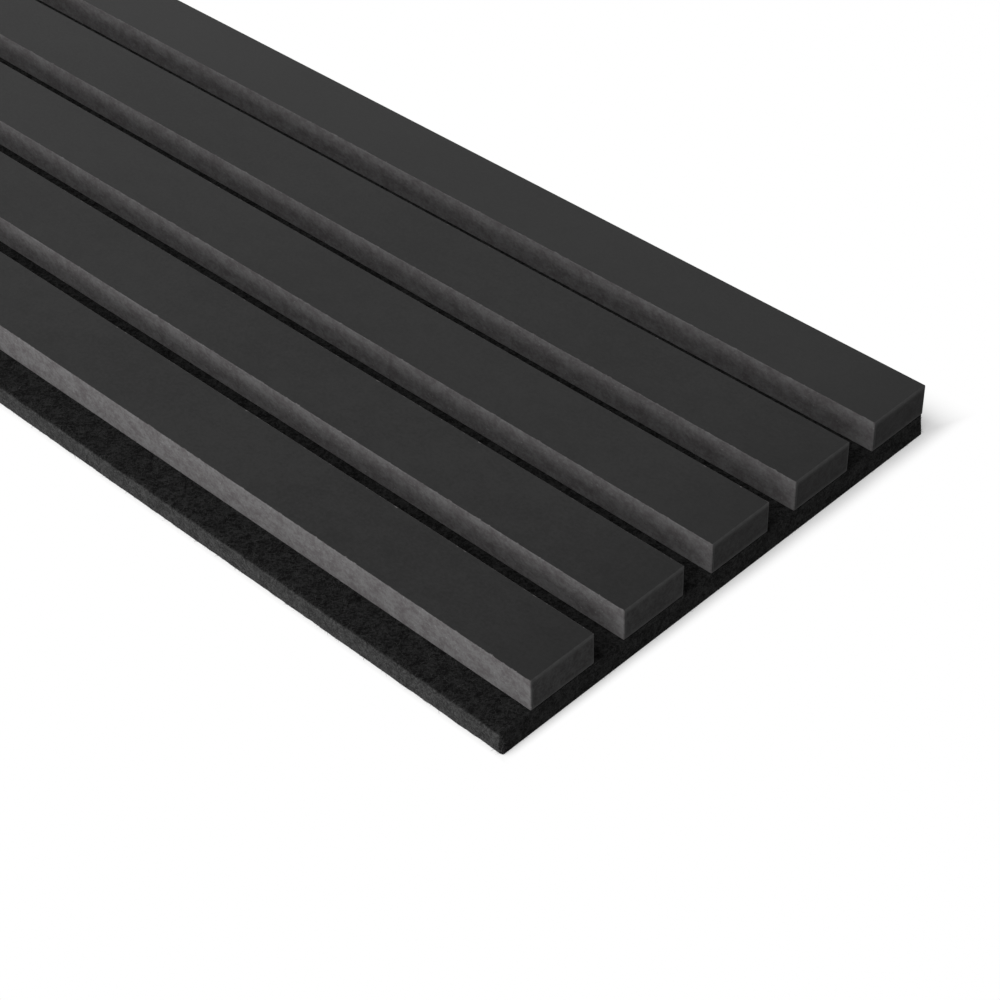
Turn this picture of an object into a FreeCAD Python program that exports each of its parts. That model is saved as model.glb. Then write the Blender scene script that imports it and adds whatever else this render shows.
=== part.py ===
import FreeCAD, Part
import os

import Sketcher

# Acoustic slat wall panel: fibreboard slats glued side by side on one sheet of felt.
# Millimetres. The panel lies on its felt back, with the origin in the middle of that back.
# X runs across the slats, from the free felt lip to the flush edge. Y runs along the slats. Z is up.

# name, size, what it sets
SIZES = [
    ("panel_length", 2400.0, "felt and slats, end to end"),
    ("slat_count", 5, "slats on one panel"),
    ("slat_width", 27.0, "face of one slat"),
    ("slat_gap", 13.0, "open felt between two slats, and the lip"),
    ("slat_thickness", 12.0, "board that the slats are ripped from"),
    ("slat_edge_round", 0.3, "eased long edges of a slat"),
    ("slat_end_arris", 0.4, "broken edge all round a slat's end cut"),
    ("felt_thickness", 8.0, "felt sheet"),
    ("felt_edge_round", 1.2, "cut edges of the felt, where the knife pulls them in"),
]

# The lip is one gap wide, so that panels set edge to edge keep the same spacing.
SLAT_PITCH = "(Sizes.slat_width + Sizes.slat_gap)"
PANEL_WIDTH = f"round(Sizes.slat_count) * {SLAT_PITCH}"
FIRST_SLAT_CENTRE = f"(Sizes.slat_gap + Sizes.slat_width / 2 - {PANEL_WIDTH} / 2)"

ALONG_SLATS = FreeCAD.Vector(0, 1, 0)
SAME_PLACE = Part.Precision.confusion()
SAME_WAY = Part.Precision.angular()


def make_sheet(doc):
    """Write every driving size into one named cell of the sheet."""
    sheet = doc.addObject("Spreadsheet::Sheet", "Sizes")
    for row, (name, size, meaning) in enumerate(SIZES, start=1):
        sheet.set(f"A{row}", name)
        sheet.set(f"B{row}", str(size))
        sheet.set(f"C{row}", meaning)
        sheet.setAlias(f"B{row}", name)
    doc.recompute()
    return sheet


def rectangle_on(body, plane_role, width, height, standing):
    """Sketch a rectangle on one of the body's own planes, standing on the origin or centred about it."""
    sketch = body.newObject("Sketcher::SketchObject", f"{body.Name}_outline")
    plane = next(item for item in body.Origin.OriginFeatures if item.Role == plane_role)
    sketch.AttachmentSupport = [(plane, "")]
    sketch.MapMode = "FlatFace"

    corners = [FreeCAD.Vector(x, y, 0) for x, y in ((-1, -1), (1, -1), (1, 1), (-1, 1))]
    lines = [Part.LineSegment(a, b) for a, b in zip(corners, corners[1:] + corners[:1])]
    bottom, right, top, left = sides = sketch.addGeometry(lines)
    start, end = 1, 2
    origin_point = (-1, start)

    for side, following in zip(sides, sides[1:] + sides[:1]):
        sketch.addConstraint(Sketcher.Constraint("Coincident", side, end, following, start))
    for side in (bottom, top):
        sketch.addConstraint(Sketcher.Constraint("Horizontal", side))
    for side in (right, left):
        sketch.addConstraint(Sketcher.Constraint("Vertical", side))
    mirrored = (bottom, end) if standing else (right, end)
    sketch.addConstraint(Sketcher.Constraint("Symmetric", bottom, start, *mirrored, *origin_point))

    drawn = lines[bottom].length()
    across = sketch.addConstraint(Sketcher.Constraint("DistanceX", bottom, start, bottom, end, drawn))
    upward = sketch.addConstraint(Sketcher.Constraint("DistanceY", right, start, right, end, drawn))
    sketch.renameConstraint(across, "Width")
    sketch.renameConstraint(upward, "Height")
    sketch.setExpression("Constraints.Width", width)
    sketch.setExpression("Constraints.Height", height)
    return sketch


def padded(body, sketch, side_type, length):
    pad = body.newObject("PartDesign::Pad", f"{body.Name}_pad")
    pad.Profile = sketch
    pad.SideType = side_type
    pad.setExpression("Length", length)
    body.Document.recompute()
    return pad


def rounded(body, base, wanted, radius):
    """Round the edges of base that wanted picks out."""
    names = [f"Edge{n}" for n, edge in enumerate(base.Shape.Edges, start=1) if wanted(edge)]
    fillet = body.newObject("PartDesign::Fillet", f"{body.Name}_round")
    fillet.Base = (base, names)
    fillet.setExpression("Radius", radius)
    body.Document.recompute()
    return fillet


def arrised(body, base, wanted, size):
    """Break the edges all round the faces of base that wanted picks out."""
    names = [f"Face{n}" for n, face in enumerate(base.Shape.Faces, start=1) if wanted(face)]
    chamfer = body.newObject("PartDesign::Chamfer", f"{body.Name}_arris")
    chamfer.Base = (base, names)
    chamfer.setExpression("Size", size)
    body.Document.recompute()
    return chamfer


def from_the_back(edge):
    return min(corner.Z for corner in edge.Vertexes) < SAME_PLACE


def along_the_slat(edge):
    return edge.Curve.Direction.isParallel(ALONG_SLATS, SAME_WAY)


def free_of_slats(edge):
    """An edge of the felt's back or corners, or the long top edge of its lip."""
    return from_the_back(edge) or (along_the_slat(edge) and edge.CenterOfMass.x < 0)


def end_cut(face):
    return face.normalAt(0, 0).isParallel(ALONG_SLATS, SAME_WAY)


def make_felt(doc):
    """One felt sheet under every slat, rounded wherever no slat stands on the edge."""
    body = doc.addObject("PartDesign::Body", "felt_backing")
    outline = rectangle_on(body, "XY_Plane", PANEL_WIDTH, "Sizes.panel_length", standing=False)
    sheet = padded(body, outline, "One side", "Sizes.felt_thickness")
    rounded(body, sheet, free_of_slats, "Sizes.felt_edge_round")
    return body


def make_slat(doc, number):
    """One slat, ripped from board, broken all round both end cuts and eased along its length."""
    body = doc.addObject("PartDesign::Body", f"slat_{number}")
    section = rectangle_on(body, "XZ_Plane", "Sizes.slat_width", "Sizes.slat_thickness", standing=True)
    strip = padded(body, section, "Symmetric", "Sizes.panel_length")
    trimmed = arrised(body, strip, end_cut, "Sizes.slat_end_arris")
    rounded(body, trimmed, along_the_slat, "Sizes.slat_edge_round")
    body.setExpression("Placement.Base.x", f"{FIRST_SLAT_CENTRE} + {number - 1} * {SLAT_PITCH}")
    body.setExpression("Placement.Base.z", "Sizes.felt_thickness")
    return body


def check(doc, bodies):
    """Stop if any feature failed, or a piece is not one valid solid."""
    for item in doc.Objects:
        if {"Invalid", "Error"} & set(item.State):
            raise RuntimeError(f"{item.Label} did not build: {item.State}")
    for body in bodies:
        shape = body.Shape
        if shape.isNull() or not shape.isValid() or len(shape.Solids) != 1:
            raise RuntimeError(f"{body.Label} is not one valid solid")


doc = FreeCAD.newDocument("slat_panel")
sizes = make_sheet(doc)
pieces = [make_felt(doc)]
for number in range(1, round(sizes.slat_count) + 1):
    pieces.append(make_slat(doc, number))
doc.recompute()
check(doc, pieces)

os.makedirs("parts", exist_ok=True)
for piece in pieces:
    piece.Shape.exportStep(f"parts/{piece.Label}.step")
    box = piece.Shape.BoundBox
    print(f"{piece.Label}: {box.XLength:.2f} x {box.YLength:.2f} x {box.ZLength:.2f} mm,"
          f" x from {box.XMin:.2f}, z from {box.ZMin:.2f}, {piece.Shape.Volume / 1000:.2f} cm3")
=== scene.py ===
import math

import bmesh
import bpy
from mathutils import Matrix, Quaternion, Vector, noise


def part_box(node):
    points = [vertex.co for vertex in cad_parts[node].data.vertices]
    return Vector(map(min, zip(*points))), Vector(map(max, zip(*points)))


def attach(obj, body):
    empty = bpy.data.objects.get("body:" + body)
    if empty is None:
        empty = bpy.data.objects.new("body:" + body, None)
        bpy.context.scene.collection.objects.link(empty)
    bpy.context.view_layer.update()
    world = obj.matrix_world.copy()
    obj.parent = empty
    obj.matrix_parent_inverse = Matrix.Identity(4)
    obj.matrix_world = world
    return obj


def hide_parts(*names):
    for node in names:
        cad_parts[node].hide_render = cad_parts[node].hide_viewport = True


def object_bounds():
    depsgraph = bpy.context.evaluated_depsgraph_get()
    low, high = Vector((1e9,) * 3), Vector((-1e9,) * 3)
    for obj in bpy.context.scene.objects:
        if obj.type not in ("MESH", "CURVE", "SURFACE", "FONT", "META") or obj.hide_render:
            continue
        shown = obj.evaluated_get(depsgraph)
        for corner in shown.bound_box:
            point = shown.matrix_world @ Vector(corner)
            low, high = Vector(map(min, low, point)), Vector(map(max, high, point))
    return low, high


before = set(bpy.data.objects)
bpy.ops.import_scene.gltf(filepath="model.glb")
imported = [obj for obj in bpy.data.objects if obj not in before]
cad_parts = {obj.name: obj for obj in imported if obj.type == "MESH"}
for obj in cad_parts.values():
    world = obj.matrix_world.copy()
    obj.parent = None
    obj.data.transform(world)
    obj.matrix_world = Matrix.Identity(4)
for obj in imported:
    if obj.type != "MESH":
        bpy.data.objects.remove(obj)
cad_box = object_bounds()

# Felt backing
# One sheet of needle-punched polyester felt, black all through, cut with a knife and glued under every slat.
# The knife rounds its edges a little and leaves the foot of the end cuts splayed out.
# One gap's width of it stays bare as the lip.

MM = 0.001
felt_low, felt_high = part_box("felt_backing")
slat_names = sorted(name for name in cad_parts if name.startswith("slat_"))
slat_spans = [(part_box(name)[0].x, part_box(name)[1].x) for name in slat_names]

BACK, LIP_TOP, LIP_SIDE, UNDER_SLAT, FLUSH_SIDE, END_CUT, FIRST_GAP = range(7)
felt_cut_round = 1.2 * MM
felt_back_round = 0.5 * MM
felt_end_round = 0.4 * MM
felt_end_splay = 0.85 * MM
felt_splay_reach = 6 * MM
felt_corner_steps = 3
felt_back_step = 25 * MM
felt_open_step = 1.6 * MM
felt_length_step = 2.5 * MM
felt_end_angles = (0, 25, 45, 65)
felt_sharp_angle = 50
felt_lump_size, felt_lump_height = 2.5 * MM, 0.14 * MM
felt_swell_size, felt_swell_height = 9 * MM, 0.16 * MM


def steps_between(start, end, longest):
    """Even places from start up to but not including end, no further apart than longest."""
    count = max(1, math.ceil(abs(end - start) / longest))
    return [start + (end - start) * n / count for n in range(count)]


def corner_arc(centre_x, centre_z, radius, first, last):
    """Points round a cut edge of the section, without the last, from one angle in degrees to another."""
    turns = steps_between(math.radians(first), math.radians(last), math.radians(90) / felt_corner_steps)
    return [(centre_x + radius * math.cos(t), centre_z + radius * math.sin(t)) for t in turns]


def felt_section():
    """The felt's outline across the slats: x, z, the region that starts there, and 1 where it is free."""
    left, right, top, cut, back = felt_low.x, felt_high.x, felt_high.z, felt_cut_round, felt_back_round
    points = [(x, 0, BACK, 0) for x in steps_between(right - back, left + back, felt_back_step)]
    points += [(x, z, LIP_SIDE, 1) for x, z in corner_arc(left + back, back, back, 270, 180)]
    points += [(left, z, LIP_SIDE, 1) for z in steps_between(back, top - cut, felt_open_step)]
    rolled = corner_arc(left + cut, top - cut, cut, 180, 90)
    points += [(x, z, LIP_TOP if n else LIP_SIDE, 1) for n, (x, z) in enumerate(rolled)]
    points += [(x, top, LIP_TOP, 1) for x in steps_between(left + cut, slat_spans[0][0], felt_open_step)]
    for number, (start, end) in enumerate(slat_spans):
        points.append((start, top, UNDER_SLAT, 0))
        if number + 1 < len(slat_spans):
            gap = steps_between(end, slat_spans[number + 1][0], felt_open_step)
            points += [(x, top, FIRST_GAP + number, min(n, 1)) for n, x in enumerate(gap)]
    flush = steps_between(top, back, felt_open_step)
    points += [(right, z, FLUSH_SIDE, min(n, 1)) for n, z in enumerate(flush)]
    points += [(x, z, FLUSH_SIDE, 1) for x, z in corner_arc(right - back, back, back, 0, -90)]
    return points


def felt_stations():
    """Places along the length, close together where the end cuts pull in."""
    near, far = felt_low.y, felt_high.y
    pulls = [felt_cut_round * (1 - math.cos(math.radians(angle))) for angle in felt_end_angles]
    middle = steps_between(near + felt_cut_round, far - felt_cut_round, felt_length_step)
    return [near + p for p in pulls] + middle + [far - felt_cut_round] + [far - p for p in reversed(pulls)]


def drawn_in(radius, from_cut):
    """How far a rounded edge lies inside the square corner, at a distance from the end cut."""
    short = max(0, radius - from_cut)
    return radius - math.sqrt(radius ** 2 - short ** 2)


def felt_point(x, y, z, free):
    """A point of the sheet, rounded and splayed at the end cuts and made lumpy where the felt is free."""
    from_cut = min(y - felt_low.y, felt_high.y - y)
    corner = drawn_in(felt_cut_round, from_cut)
    x = min(max(x, felt_low.x + corner), felt_high.x - corner)
    z = max(z, felt_low.z + drawn_in(felt_end_round, from_cut))
    splay = felt_end_splay * max(0, 1 - from_cut / felt_splay_reach) * (1 - z / felt_high.z)
    y += math.copysign(splay, y)
    place = Vector((x, y, z))
    lump = felt_lump_height * noise.noise(place / felt_lump_size)
    swell = felt_swell_height * noise.noise(place / felt_swell_size)
    push = free * (lump + swell)
    # Both long sides swell outwards, and the open top swells upwards.
    if x < felt_low.x + felt_cut_round:
        return Vector((x - push, y, z))
    if x > slat_spans[-1][0]:
        return Vector((x + push, y, z))
    return Vector((x, y, z + push))


section = felt_section()
sheet = bmesh.new()
region_layer = sheet.faces.layers.int.new("felt_region")
rings = []
for y in felt_stations():
    rings.append([sheet.verts.new(felt_point(x, y, z, free)) for x, z, region, free in section])
for near_ring, far_ring in zip(rings, rings[1:]):
    for n, (x, z, region, free) in enumerate(section):
        following = (n + 1) % len(section)
        face = sheet.faces.new((near_ring[n], near_ring[following], far_ring[following], far_ring[n]))
        face[region_layer] = region
for ring in (rings[0], rings[-1]):
    sheet.faces.new(ring)[region_layer] = END_CUT
bmesh.ops.recalc_face_normals(sheet, faces=sheet.faces)
for face in sheet.faces:
    face.smooth = True
felt_mesh = bpy.data.meshes.new("felt_sheet")
sheet.to_mesh(felt_mesh)
sheet.free()
felt_mesh.set_sharp_from_angle(angle=math.radians(felt_sharp_angle))
felt_sheet = bpy.data.objects.new("felt_sheet", felt_mesh)
bpy.context.scene.collection.objects.link(felt_sheet)


class Field:
    """A socket of a node tree. Sums on it are written as Python sums, and each adds its Math node."""

    def __init__(self, socket):
        self.socket = socket

    def node(self, kind, settings=None, inputs=None, output=0):
        """Add any other node to the tree: its settings first, then numbers or fields for its sockets."""
        tree = self.socket.id_data
        made = tree.nodes.new(kind)
        for name, value in (settings or {}).items():
            setattr(made, name, value)
        for name, value in (inputs or {}).items():
            if isinstance(value, Field):
                tree.links.new(value.socket, made.inputs[name])
            else:
                made.inputs[name].default_value = value
        if isinstance(output, tuple):
            return [Field(made.outputs[name]) for name in output]
        return Field(made.outputs[output])

    def maths(self, operation, first, second=0.0):
        return self.node("ShaderNodeMath", {"operation": operation}, {0: first, 1: second})

    def __add__(self, other):
        return self.maths("ADD", self, other)

    def __radd__(self, other):
        return self.maths("ADD", other, self)

    def __sub__(self, other):
        return self.maths("SUBTRACT", self, other)

    def __rsub__(self, other):
        return self.maths("SUBTRACT", other, self)

    def __mul__(self, other):
        return self.maths("MULTIPLY", self, other)

    def __rmul__(self, other):
        return self.maths("MULTIPLY", other, self)

    def __truediv__(self, other):
        return self.maths("DIVIDE", self, other)

    def __rtruediv__(self, other):
        return self.maths("DIVIDE", other, self)

    def __pow__(self, other):
        return self.maths("POWER", self, other)

    def __abs__(self):
        return self.maths("ABSOLUTE", self)

    def __floor__(self):
        return self.maths("FLOOR", self)

    def larger(self, other):
        return self.maths("MAXIMUM", self, other)

    def smaller(self, other):
        return self.maths("MINIMUM", self, other)


def xyz(place):
    return place.node("ShaderNodeSeparateXYZ", {}, {0: place}, ("X", "Y", "Z"))


def rise(field, low, high):
    """0 up to low, 1 from high on and smooth between; it falls instead where low is the larger."""
    settings = {"interpolation_type": "SMOOTHSTEP"}
    return field.node("ShaderNodeMapRange", settings, {"Value": field, "From Min": low, "From Max": high})


def cloud(place, spans, detail=2.0, roughness=0.5, turn=(0, 0, 0)):
    """Noise round 0.5 whose blots are about as large as the spans, in mm, along axes turned by degrees."""
    angles = tuple(math.radians(angle) for angle in turn)
    sizes = tuple(span * MM for span in spans)
    counted = place.node("ShaderNodeMapping", {"vector_type": "TEXTURE"},
                         {"Vector": place, "Rotation": angles, "Scale": sizes})
    return place.node("ShaderNodeTexNoise", {}, {"Vector": counted, "Scale": 1.0, "Detail": detail,
                                                 "Roughness": roughness})


def mixed(factor, first, second):
    """A colour that goes from first to second as factor goes from 0 to 1."""
    return factor.node("ShaderNodeMix", {"data_type": "RGBA"}, {0: factor, 6: first, 7: second}, 2)


def grey(level, tint=(1.0, 1.0, 1.0)):
    return (level * tint[0], level * tint[1], level * tint[2], 1.0)


def new_finish(name):
    """A material with one shader, and the object coordinates that its patterns read."""
    material = bpy.data.materials.new(name)
    material.use_nodes = True
    shader = material.node_tree.nodes["Principled BSDF"]
    place = Field(shader.outputs["BSDF"]).node("ShaderNodeTexCoord", output="Object")
    return material, shader, place


def feed(fed, name, field):
    fed.id_data.links.new(field.socket, fed.inputs[name])


felt_finish, felt_shader, felt_place = new_finish("black_felt")
felt_top_tones = grey(0.0045), grey(0.024)
# The long cut sides are coloured paler than the top and the end cuts: partly their own tone, partly painted
# light.
felt_side_tones = grey(0.025), grey(0.071)
felt_end_tones = grey(0.005), grey(0.0265)
# Painted shade in the gaps between the slats: how much darker the felt there is coloured.
gap_shade_paint_amount = 0.2
strand_size = (0.7, 4.5, 0.7)
strand_turns = ((0, 0, 52), (20, 10, 36), (-25, 20, 128))
strand_thinness = 10

felt_x, felt_y, felt_z = xyz(felt_place)
blots = cloud(felt_place, (1.1, 1.1, 1.1), 3.0, 0.6)
tufts = cloud(felt_place, (3.6, 3.6, 3.6))
specks = cloud(felt_place, (0.5, 0.5, 0.5), 1.0)
strands = []
for strand_turn in strand_turns:
    crest = 1 - abs(cloud(felt_place, strand_size, 1.0, turn=strand_turn) * 2 - 1)
    strands.append(crest ** strand_thinness)
stranded = strands[0] + strands[1] + strands[2]
felt_pale = rise(blots + (tufts - 0.5) * 0.6 + (specks - 0.5) * 0.3 + stranded * 0.2, 0.40, 0.98)

below_top = rise(felt_z, felt_high.z - 0.25 * MM, felt_high.z - 0.75 * MM)
on_side = rise(abs(felt_x), felt_high.x - 2.2 * MM, felt_high.x - 1.7 * MM) * below_top
on_end = rise(abs(felt_y), felt_high.y - 0.8 * MM, felt_high.y - 0.3 * MM)
# Painted shade: from the first slat on, the felt's top is coloured a fifth darker, in the gaps and under the
# slats.
painted_gap_shade = rise(felt_x, slat_spans[0][0], slat_spans[0][1])
felt_top_tone = mixed(painted_gap_shade * gap_shade_paint_amount, mixed(felt_pale, *felt_top_tones), grey(0.0))
felt_side_tone = mixed(felt_pale, *felt_side_tones)
felt_end_tone = mixed(felt_pale, *felt_end_tones)
felt_tone = mixed(on_end, mixed(on_side, felt_top_tone, felt_side_tone), felt_end_tone)
felt_height = stranded * 0.35 + blots + specks * 0.3
felt_bump = felt_height.node("ShaderNodeBump", {}, {"Strength": 0.9, "Distance": 0.3 * MM,
                                                    "Height": felt_height})
feed(felt_shader, "Base Color", felt_tone)
feed(felt_shader, "Roughness", 0.95 - felt_pale * 0.15)
feed(felt_shader, "Normal", felt_bump)
felt_shader.inputs["Specular IOR Level"].default_value = 0.02

felt_mesh.materials.append(felt_finish)
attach(felt_sheet, "root")
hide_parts("felt_backing")

# Felt fuzz
# Loose polyester fibres that the needling and the knife leave on the felt, crimped and tangled.
# They lie nearly flat on the lip and in the gaps, and stand a little proud of the cut edges.

fibre_length = 2.6 * MM
fibre_width = 0.09 * MM
fibre_bend = 0.4 * MM
fibre_arch = 0.22 * MM
fibre_sink = 0.05 * MM
fibre_joints = 3
fibre_tones = grey(0.004), grey(0.075)
per_square_mm = 1 / MM ** 2

fibre_finish, fibre_shader, fibre_place = new_finish("felt_fibre")
fibre_shade, fibre_along = xyz(fibre_place.node("ShaderNodeUVMap", {"uv_map": "OFBake"}))[:2]
# Each fibre has its own tone at random, and is darker towards its tips.
fibre_paleness = fibre_shade ** 3 * (1 - abs(fibre_along * 2 - 1) * 0.3)
feed(fibre_shader, "Base Color", mixed(fibre_paleness, *fibre_tones))
feed(fibre_shader, "Roughness", 0.6 + fibre_shade * 0.2)
fibre_shader.inputs["Specular IOR Level"].default_value = 0.05


def fuzz_tree():
    """Geometry nodes that lay bent fibres on one region of the felt, ready to be made a plain mesh."""
    tree = bpy.data.node_groups.new("felt_fuzz", "GeometryNodeTree")
    sockets = (("Felt", "NodeSocketGeometry"), ("Region", "NodeSocketInt"), ("Density", "NodeSocketFloat"),
               ("Length", "NodeSocketFloat"), ("Width", "NodeSocketFloat"), ("Bend", "NodeSocketFloat"),
               ("Arch", "NodeSocketFloat"), ("Sink", "NodeSocketFloat"), ("Lift", "NodeSocketFloat"),
               ("Lowest", "NodeSocketFloat"), ("Darkest", "NodeSocketFloat"), ("Palest", "NodeSocketFloat"),
               ("Seed", "NodeSocketInt"), ("Finish", "NodeSocketMaterial"))
    for name, kind in sockets:
        tree.interface.new_socket(name, in_out="INPUT", socket_type=kind)
    tree.interface.new_socket("Fuzz", in_out="OUTPUT", socket_type="NodeSocketGeometry")
    inputs = tree.nodes.new("NodeGroupInput").outputs
    given = {socket.name: Field(socket) for socket in inputs if socket.name}
    felt = given["Felt"]

    def stored(geometry, name, value):
        return felt.node("GeometryNodeStoreNamedAttribute", {"data_type": "FLOAT", "domain": "POINT"},
                         {"Geometry": geometry, "Name": name, "Value": value})

    def recalled(name, data_type):
        return felt.node("GeometryNodeInputNamedAttribute", {"data_type": data_type}, {"Name": name})

    def moved(geometry, x, y, z):
        place = felt.node("ShaderNodeCombineXYZ", {}, {"X": x, "Y": y, "Z": z})
        return felt.node("GeometryNodeSetPosition", {}, {"Geometry": geometry, "Position": place})

    def chance(low, high, offset):
        return felt.node("FunctionNodeRandomValue", {"data_type": "FLOAT"},
                         {2: low, 3: high, "Seed": given["Seed"] + offset}, 1)

    def turned_about(rotation, axis, angle):
        by = felt.node("FunctionNodeAxisAngleToRotation", {}, {"Axis": axis, "Angle": angle})
        return felt.node("FunctionNodeRotateRotation", {"rotation_space": "LOCAL"},
                         {"Rotation": rotation, "Rotate By": by})

    blank = felt.node("GeometryNodeMeshGrid", {}, {"Size X": 1.0, "Size Y": 1.0, "Vertices X": fibre_joints,
                                                   "Vertices Y": 2})
    along, across = xyz(felt.node("GeometryNodeInputPosition"))[:2]
    curl = along * along * 4
    fibre = moved(blank, along * given["Length"],
                  across * given["Width"] * (1 - curl * 0.6) + curl * given["Bend"],
                  (1 - curl) * given["Arch"] - given["Sink"])
    fibre = stored(fibre, "fibre_along", along + 0.5)

    here = felt.node("FunctionNodeCompare", {"data_type": "INT", "operation": "EQUAL"},
                     {2: recalled("felt_region", "INT"), 3: given["Region"]})
    roots, upright = felt.node("GeometryNodeDistributePointsOnFaces", {},
                               {"Mesh": felt, "Selection": here, "Density": given["Density"],
                                "Seed": given["Seed"]}, ("Points", "Rotation"))
    lie = turned_about(upright, (0, 0, 1), chance(0.0, math.tau, 1))
    lie = turned_about(lie, (0, 1, 0), chance(-1.0, 1.0, 2) ** 3 * given["Lift"])
    size = felt.node("ShaderNodeCombineXYZ", {}, {"X": chance(0.4, 1.5, 3), "Y": chance(0.6, 1.4, 4),
                                                  "Z": chance(0.2, 1.2, 5)})
    roots = stored(roots, "fibre_shade", chance(given["Darkest"], given["Palest"], 6))
    laid = felt.node("GeometryNodeInstanceOnPoints", {}, {"Points": roots, "Instance": fibre,
                                                          "Rotation": lie, "Scale": size})
    fuzz = felt.node("GeometryNodeRealizeInstances", {}, {"Geometry": laid})
    x, y, z = xyz(felt.node("GeometryNodeInputPosition"))
    fuzz = moved(fuzz, x, y, z.larger(given["Lowest"]))
    spot = felt.node("ShaderNodeCombineXYZ", {}, {"X": recalled("fibre_shade", "FLOAT"),
                                                  "Y": recalled("fibre_along", "FLOAT")})
    fuzz = felt.node("GeometryNodeStoreNamedAttribute", {"data_type": "FLOAT2", "domain": "CORNER"},
                     {"Geometry": fuzz, "Name": "OFBake", "Value": spot})
    fuzz = felt.node("GeometryNodeSetMaterial", {}, {"Geometry": fuzz, "Material": given["Finish"]})
    feed(tree.nodes.new("NodeGroupOutput"), "Fuzz", fuzz)
    return tree


felt_fuzz = fuzz_tree()


def lay_fuzz(name, region, density, lift, darkest, palest, seed):
    """Lay fibres on one region of the felt and keep them as a plain mesh."""
    grower = bpy.data.objects.new(name + "_grower", felt_mesh)
    bpy.context.scene.collection.objects.link(grower)
    modifier = grower.modifiers.new("fuzz", "NODES")
    modifier.node_group = felt_fuzz
    values = {"Region": region, "Density": density * per_square_mm, "Length": fibre_length,
              "Width": fibre_width, "Bend": fibre_bend, "Arch": fibre_arch, "Sink": fibre_sink,
              "Lift": math.radians(lift), "Lowest": felt_low.z, "Darkest": darkest, "Palest": palest,
              "Seed": seed, "Finish": fibre_finish}
    for socket in felt_fuzz.interface.items_tree:
        if socket.in_out == "INPUT" and socket.name in values:
            modifier[socket.identifier] = values[socket.name]
    grown = grower.evaluated_get(bpy.context.evaluated_depsgraph_get())
    mesh = bpy.data.meshes.new_from_object(grown)
    bpy.data.objects.remove(grower)
    mesh.name = name
    fuzz = bpy.data.objects.new(name, mesh)
    bpy.context.scene.collection.objects.link(fuzz)
    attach(fuzz, "root")
    return fuzz


fuzz_pieces = [
    lay_fuzz("felt_fuzz_lip", LIP_TOP, density=1.3, lift=28, darkest=0.0, palest=0.85, seed=11),
    # Fibres on the long cut sides are paler than the rest: partly their own tone, partly painted light.
    lay_fuzz("felt_fuzz_lip_edge", LIP_SIDE, density=1.3, lift=20, darkest=0.55, palest=1.0, seed=12),
    lay_fuzz("felt_fuzz_flush_edge", FLUSH_SIDE, density=0.6, lift=20, darkest=0.55, palest=1.0, seed=13),
    lay_fuzz("felt_fuzz_ends", END_CUT, density=1.1, lift=20, darkest=0.0, palest=0.7, seed=14),
]
# Painted shade: the fibres between the slats go no paler than 0.7, where the lip's go to 0.85.
for number in range(len(slat_spans) - 1):
    fuzz_pieces.append(lay_fuzz(f"felt_fuzz_gap_{number + 1}", FIRST_GAP + number, density=0.75, lift=28,
                                darkest=0.0, palest=0.7, seed=21 + number))

# Slats
# Strips ripped from dyed-through fibreboard and glued down on the felt at even gaps.
# Their pressed faces are smooth and matte, their sawn sides paler and fibrous, their end cuts fine and
# coloured far darker as painted shade.
# Sandpaper has broken the edges round each end cut, and the faces are coloured darker near the ends as
# painted shade.

slat_low, slat_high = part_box(slat_names[0])
slat_pitch = slat_spans[1][0] - slat_spans[0][0]
slat_half = (slat_high.x - slat_low.x) / 2
end_arris = 0.4 * MM
end_painted_shade_reach = 40 * MM
end_pale_band_full, end_pale_band_start = 0.3 * MM, 2.4 * MM
painted_slat_shade_seed = 7980
face_tone_seed = 15409
dark_fibre_tint = (1.06, 0.97, 0.995)
pale_fibre_tint = (1.01, 0.995, 1.0)
face_tones = grey(0.0035), grey(0.0130)
pale_face_tone = grey(0.019)
side_tones = grey(0.080, dark_fibre_tint), grey(0.146, pale_fibre_tint)
fleck_tone = grey(0.30)
end_tones = grey(0.010, dark_fibre_tint), grey(0.032)
end_pale_band_tone = grey(0.048)
rim_tones = grey(0.028), grey(0.058)
black = grey(0.0)

board_finish, board_shader, board_place = new_finish("dyed_fibreboard")
board_x, board_y, board_z = xyz(board_place)
pitches = (board_x - slat_low.x) / slat_pitch
slat_number = math.floor(pitches)
from_side = slat_half - abs((pitches - slat_number) * slat_pitch - slat_half)
from_end = slat_high.y - abs(board_y)
from_face = (slat_high.z - board_z).smaller(board_z - slat_low.z)


def slat_chance(seed):
    """One number from 0 to 1 for each slat, set by the seed."""
    return slat_number.node("ShaderNodeTexWhiteNoise", {"noise_dimensions": "1D"}, {"W": slat_number + seed})


ragged = cloud(board_place, (2.5, 2.5, 2.5), 3.0, 0.6)
mottle = cloud(board_place, (1.1, 1.5, 1.1), 3.0, 0.6)
patches = cloud(board_place, (3.5, 5.5, 3.5), 2.0)
grit = cloud(board_place, (0.5, 0.5, 0.5), 2.0, 0.6)
haze = cloud(board_place, (45, 90, 45), 3.0, turn=(0, 0, 20))
smudges = cloud(board_place, (6, 9, 6), 4.0, 0.6)
flecks = rise(cloud(board_place, (0.9, 1.2, 0.9), 1.0, 0.7), 0.68, 0.80)

on_arris = (end_arris - from_end).larger(0.0)
chipped = rise(ragged, 0.52, 0.80) * 0.5 * MM
sawn_side = rise(from_side - on_arris - chipped, 0.25 * MM, 0.05 * MM)
sawn_end = rise(from_end, 0.3 * MM, 0.05 * MM)
sawn = sawn_side.larger(sawn_end)
sawn_pale = rise(mottle + (patches - 0.5) * 0.85 + (grit - 0.5) * 0.5, 0.14, 0.86)
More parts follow.
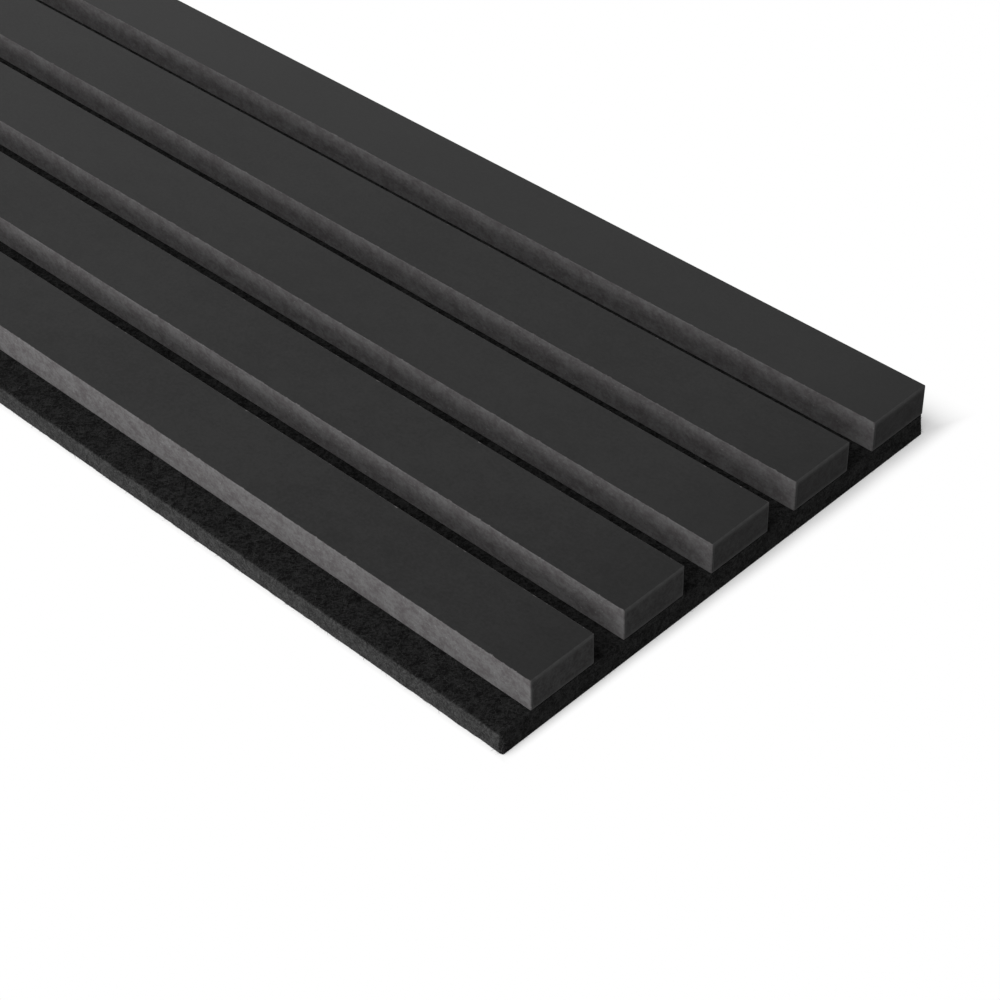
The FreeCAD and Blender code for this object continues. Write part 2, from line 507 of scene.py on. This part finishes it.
# Painted shade: slat by slat away from the lip, the sawn sides and end cuts are coloured darker, as the
# light falls off.
painted_shade_by_slat = 1 - slat_chance(painted_slat_shade_seed)

side_tone = mixed(flecks * 0.4, mixed(sawn_pale, *side_tones), fleck_tone)
side_tone = mixed(painted_shade_by_slat * 0.4, side_tone, black)
# Painted shade: the end cuts are coloured far darker than the sawn sides of the same board, for the little
# light on them.
end_tone = mixed(painted_shade_by_slat * 0.6, mixed(sawn_pale, *end_tones), black)
# The end cuts are coloured paler within about 2 mm of the faces.
end_tone = mixed(rise(from_face, end_pale_band_start, end_pale_band_full) * 0.5, end_tone, end_pale_band_tone)
face_pale = rise(haze * 0.4 + smudges * 0.5 + mottle * 0.6 + grit * 0.3, 0.65, 1.12)
face_tone = mixed(slat_chance(face_tone_seed) * 0.55, mixed(face_pale, *face_tones), pale_face_tone)
# Painted shade: the faces are coloured up to 30 % darker within 40 mm of the end cuts, for the weaker
# reflection there.
face_tone = mixed(rise(from_end, end_painted_shade_reach, 0.0) * 0.3, face_tone, black)

nearest_rim = from_end * 1.6 + from_side.smaller(from_face)
rim_width = end_arris * (1.7 + ragged * 1.4)
rim = rise(nearest_rim, rim_width, end_arris * 1.3) * (1 - sawn_side * 0.7)
board_tone = mixed(sawn_end, mixed(sawn_side, face_tone, side_tone), end_tone)
board_tone = mixed(rim * 0.85, board_tone, mixed(ragged, *rim_tones))
board_height = sawn * (mottle + grit * 0.5) + (1 - sawn) * grit * 0.08
board_bump = board_height.node("ShaderNodeBump", {}, {"Strength": 0.5, "Distance": 0.12 * MM,
                                                      "Height": board_height})
feed(board_shader, "Base Color", board_tone)
feed(board_shader, "Roughness", 0.46 + sawn * 0.42 + (smudges - 0.5) * 0.1)
feed(board_shader, "Normal", board_bump)
board_shader.inputs["Specular IOR Level"].default_value = 0.15

for name in slat_names:
    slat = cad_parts[name]
    slat.data.materials.clear()
    slat.data.materials.append(board_finish)

# Floor and surroundings
# A plain white studio floor under a white surround, which gives a little light of its own.
# The floor keeps the panel's shadow close by and is plain white further off.

floor_size = 60.0
floor_drop = 0.05 * MM
shadow_reach = {"right": 23 * MM, "left": 2 * MM, "left_end": 4 * MM, "right_end": 4.5 * MM}
least_white = 0.35
surround_light = 0.25
floor_mesh = bpy.data.meshes.new("floor")
corners = [(x * floor_size, y * floor_size, -floor_drop) for x, y in ((-1, -1), (1, -1), (1, 1), (-1, 1))]
floor_mesh.from_pydata(corners, [], [(0, 1, 2, 3)])
floor = bpy.data.objects.new("floor", floor_mesh)
bpy.context.scene.collection.objects.link(floor)


def shown_white(start):
    """1 for rays that show the background, straight, mirrored or through glass, and 0 for light itself."""
    straight, mirrored, through = start.node("ShaderNodeLightPath", {}, {}, (
        "Is Camera Ray", "Is Glossy Ray", "Is Transmission Ray"))
    return straight.larger(mirrored).larger(through)


floor_finish, floor_shader, floor_place = new_finish("white_floor")
floor_x, floor_y = xyz(floor_place)[:2]
floor_shader.inputs["Roughness"].default_value = 1.0
floor_shader.inputs["Specular IOR Level"].default_value = 0.0
floor_shown = shown_white(floor_place)
feed(floor_shader, "Base Color", mixed(floor_shown, grey(0.8), grey(1.0)))
clear_right = (floor_x - cad_box[1].x) / shadow_reach["right"]
clear_left = (cad_box[0].x - floor_x) / shadow_reach["left"]
end_reach = rise(floor_x, cad_box[0].x, cad_box[1].x) * shadow_reach["right_end"] + shadow_reach["left_end"]
clear_ends = (abs(floor_y) - cad_box[1].y) / end_reach
clear = clear_ends.larger(clear_right.larger(clear_left))
floor_fade = rise(clear, 0.05, 1.0) * (1 - least_white) + least_white
floor_white = floor_place.node("ShaderNodeEmission")
floor_look = floor_place.node("ShaderNodeMixShader", {}, {
    0: floor_shown * floor_fade, 1: Field(floor_shader.outputs["BSDF"]), 2: floor_white})
feed(floor_finish.node_tree.nodes["Material Output"], "Surface", floor_look)
floor_mesh.materials.append(floor_finish)

surround = bpy.data.worlds.new("white_surround")
surround.use_nodes = True
bpy.context.scene.world = surround
sky = surround.node_tree.nodes["Background"]
sky.inputs["Color"].default_value = grey(1.0)
sky_shown = shown_white(Field(sky.outputs["Background"]))
feed(sky, "Strength", sky_shown * (1 - surround_light) + surround_light)

# Studio lamps
# Two softboxes on the lip's side, long enough to light the panel evenly from end to end.
# The low key lamp rakes the sawn sides, and the high one lights the faces and reaches into the gaps.


def softbox(name, place, aim, length, height, power):
    lamp = bpy.data.lights.new(name, "AREA")
    lamp.shape = "RECTANGLE"
    lamp.size, lamp.size_y = length, height
    lamp.energy = power
    holder = bpy.data.objects.new(name, lamp)
    holder.location = place
    holder.rotation_euler = (Vector(aim) - Vector(place)).to_track_quat("-Z", "Y").to_euler()
    holder.visible_camera = False
    bpy.context.scene.collection.objects.link(holder)


softbox("key", place=(-0.95, -0.3, 0.31), aim=(-0.05, -0.3, 0), length=4.0, height=0.4, power=12.7)
softbox("top", place=(-0.95, 0.2, 1.75), aim=(0, 0.2, 0), length=4.0, height=1.0, power=43)
bpy.context.scene.view_settings.view_transform = "Standard"

# Camera
# It looks down on the near end from the lip's side, close in, so that the length runs out of the picture.
# Its place and lens come from the slats' edges, solved together with the panel's proportions.

camera_azimuth, camera_elevation, camera_roll = -44.593, 40.742, -1.671
camera_distance = 775.81 * MM
camera_lens, camera_sensor = 86.263, 36.0
look_at = Vector((cad_box[0].x + 80.307 * MM, cad_box[0].y + 78.652 * MM, 0))
turn, tilt = math.radians(camera_azimuth), math.radians(camera_elevation)
backward = Vector((math.sin(turn) * math.cos(tilt), -math.cos(turn) * math.cos(tilt), math.sin(tilt)))
level_view = (-backward).to_track_quat("-Z", "Y")
camera_data = bpy.data.cameras.new("camera")
camera_data.sensor_width = camera_sensor
camera_data.lens = camera_lens
camera = bpy.data.objects.new("camera", camera_data)
camera.location = look_at + backward * camera_distance
camera.rotation_mode = "QUATERNION"
camera.rotation_quaternion = level_view @ Quaternion((0, 0, 1), math.radians(camera_roll))
bpy.context.scene.collection.objects.link(camera)
bpy.context.scene.camera = camera
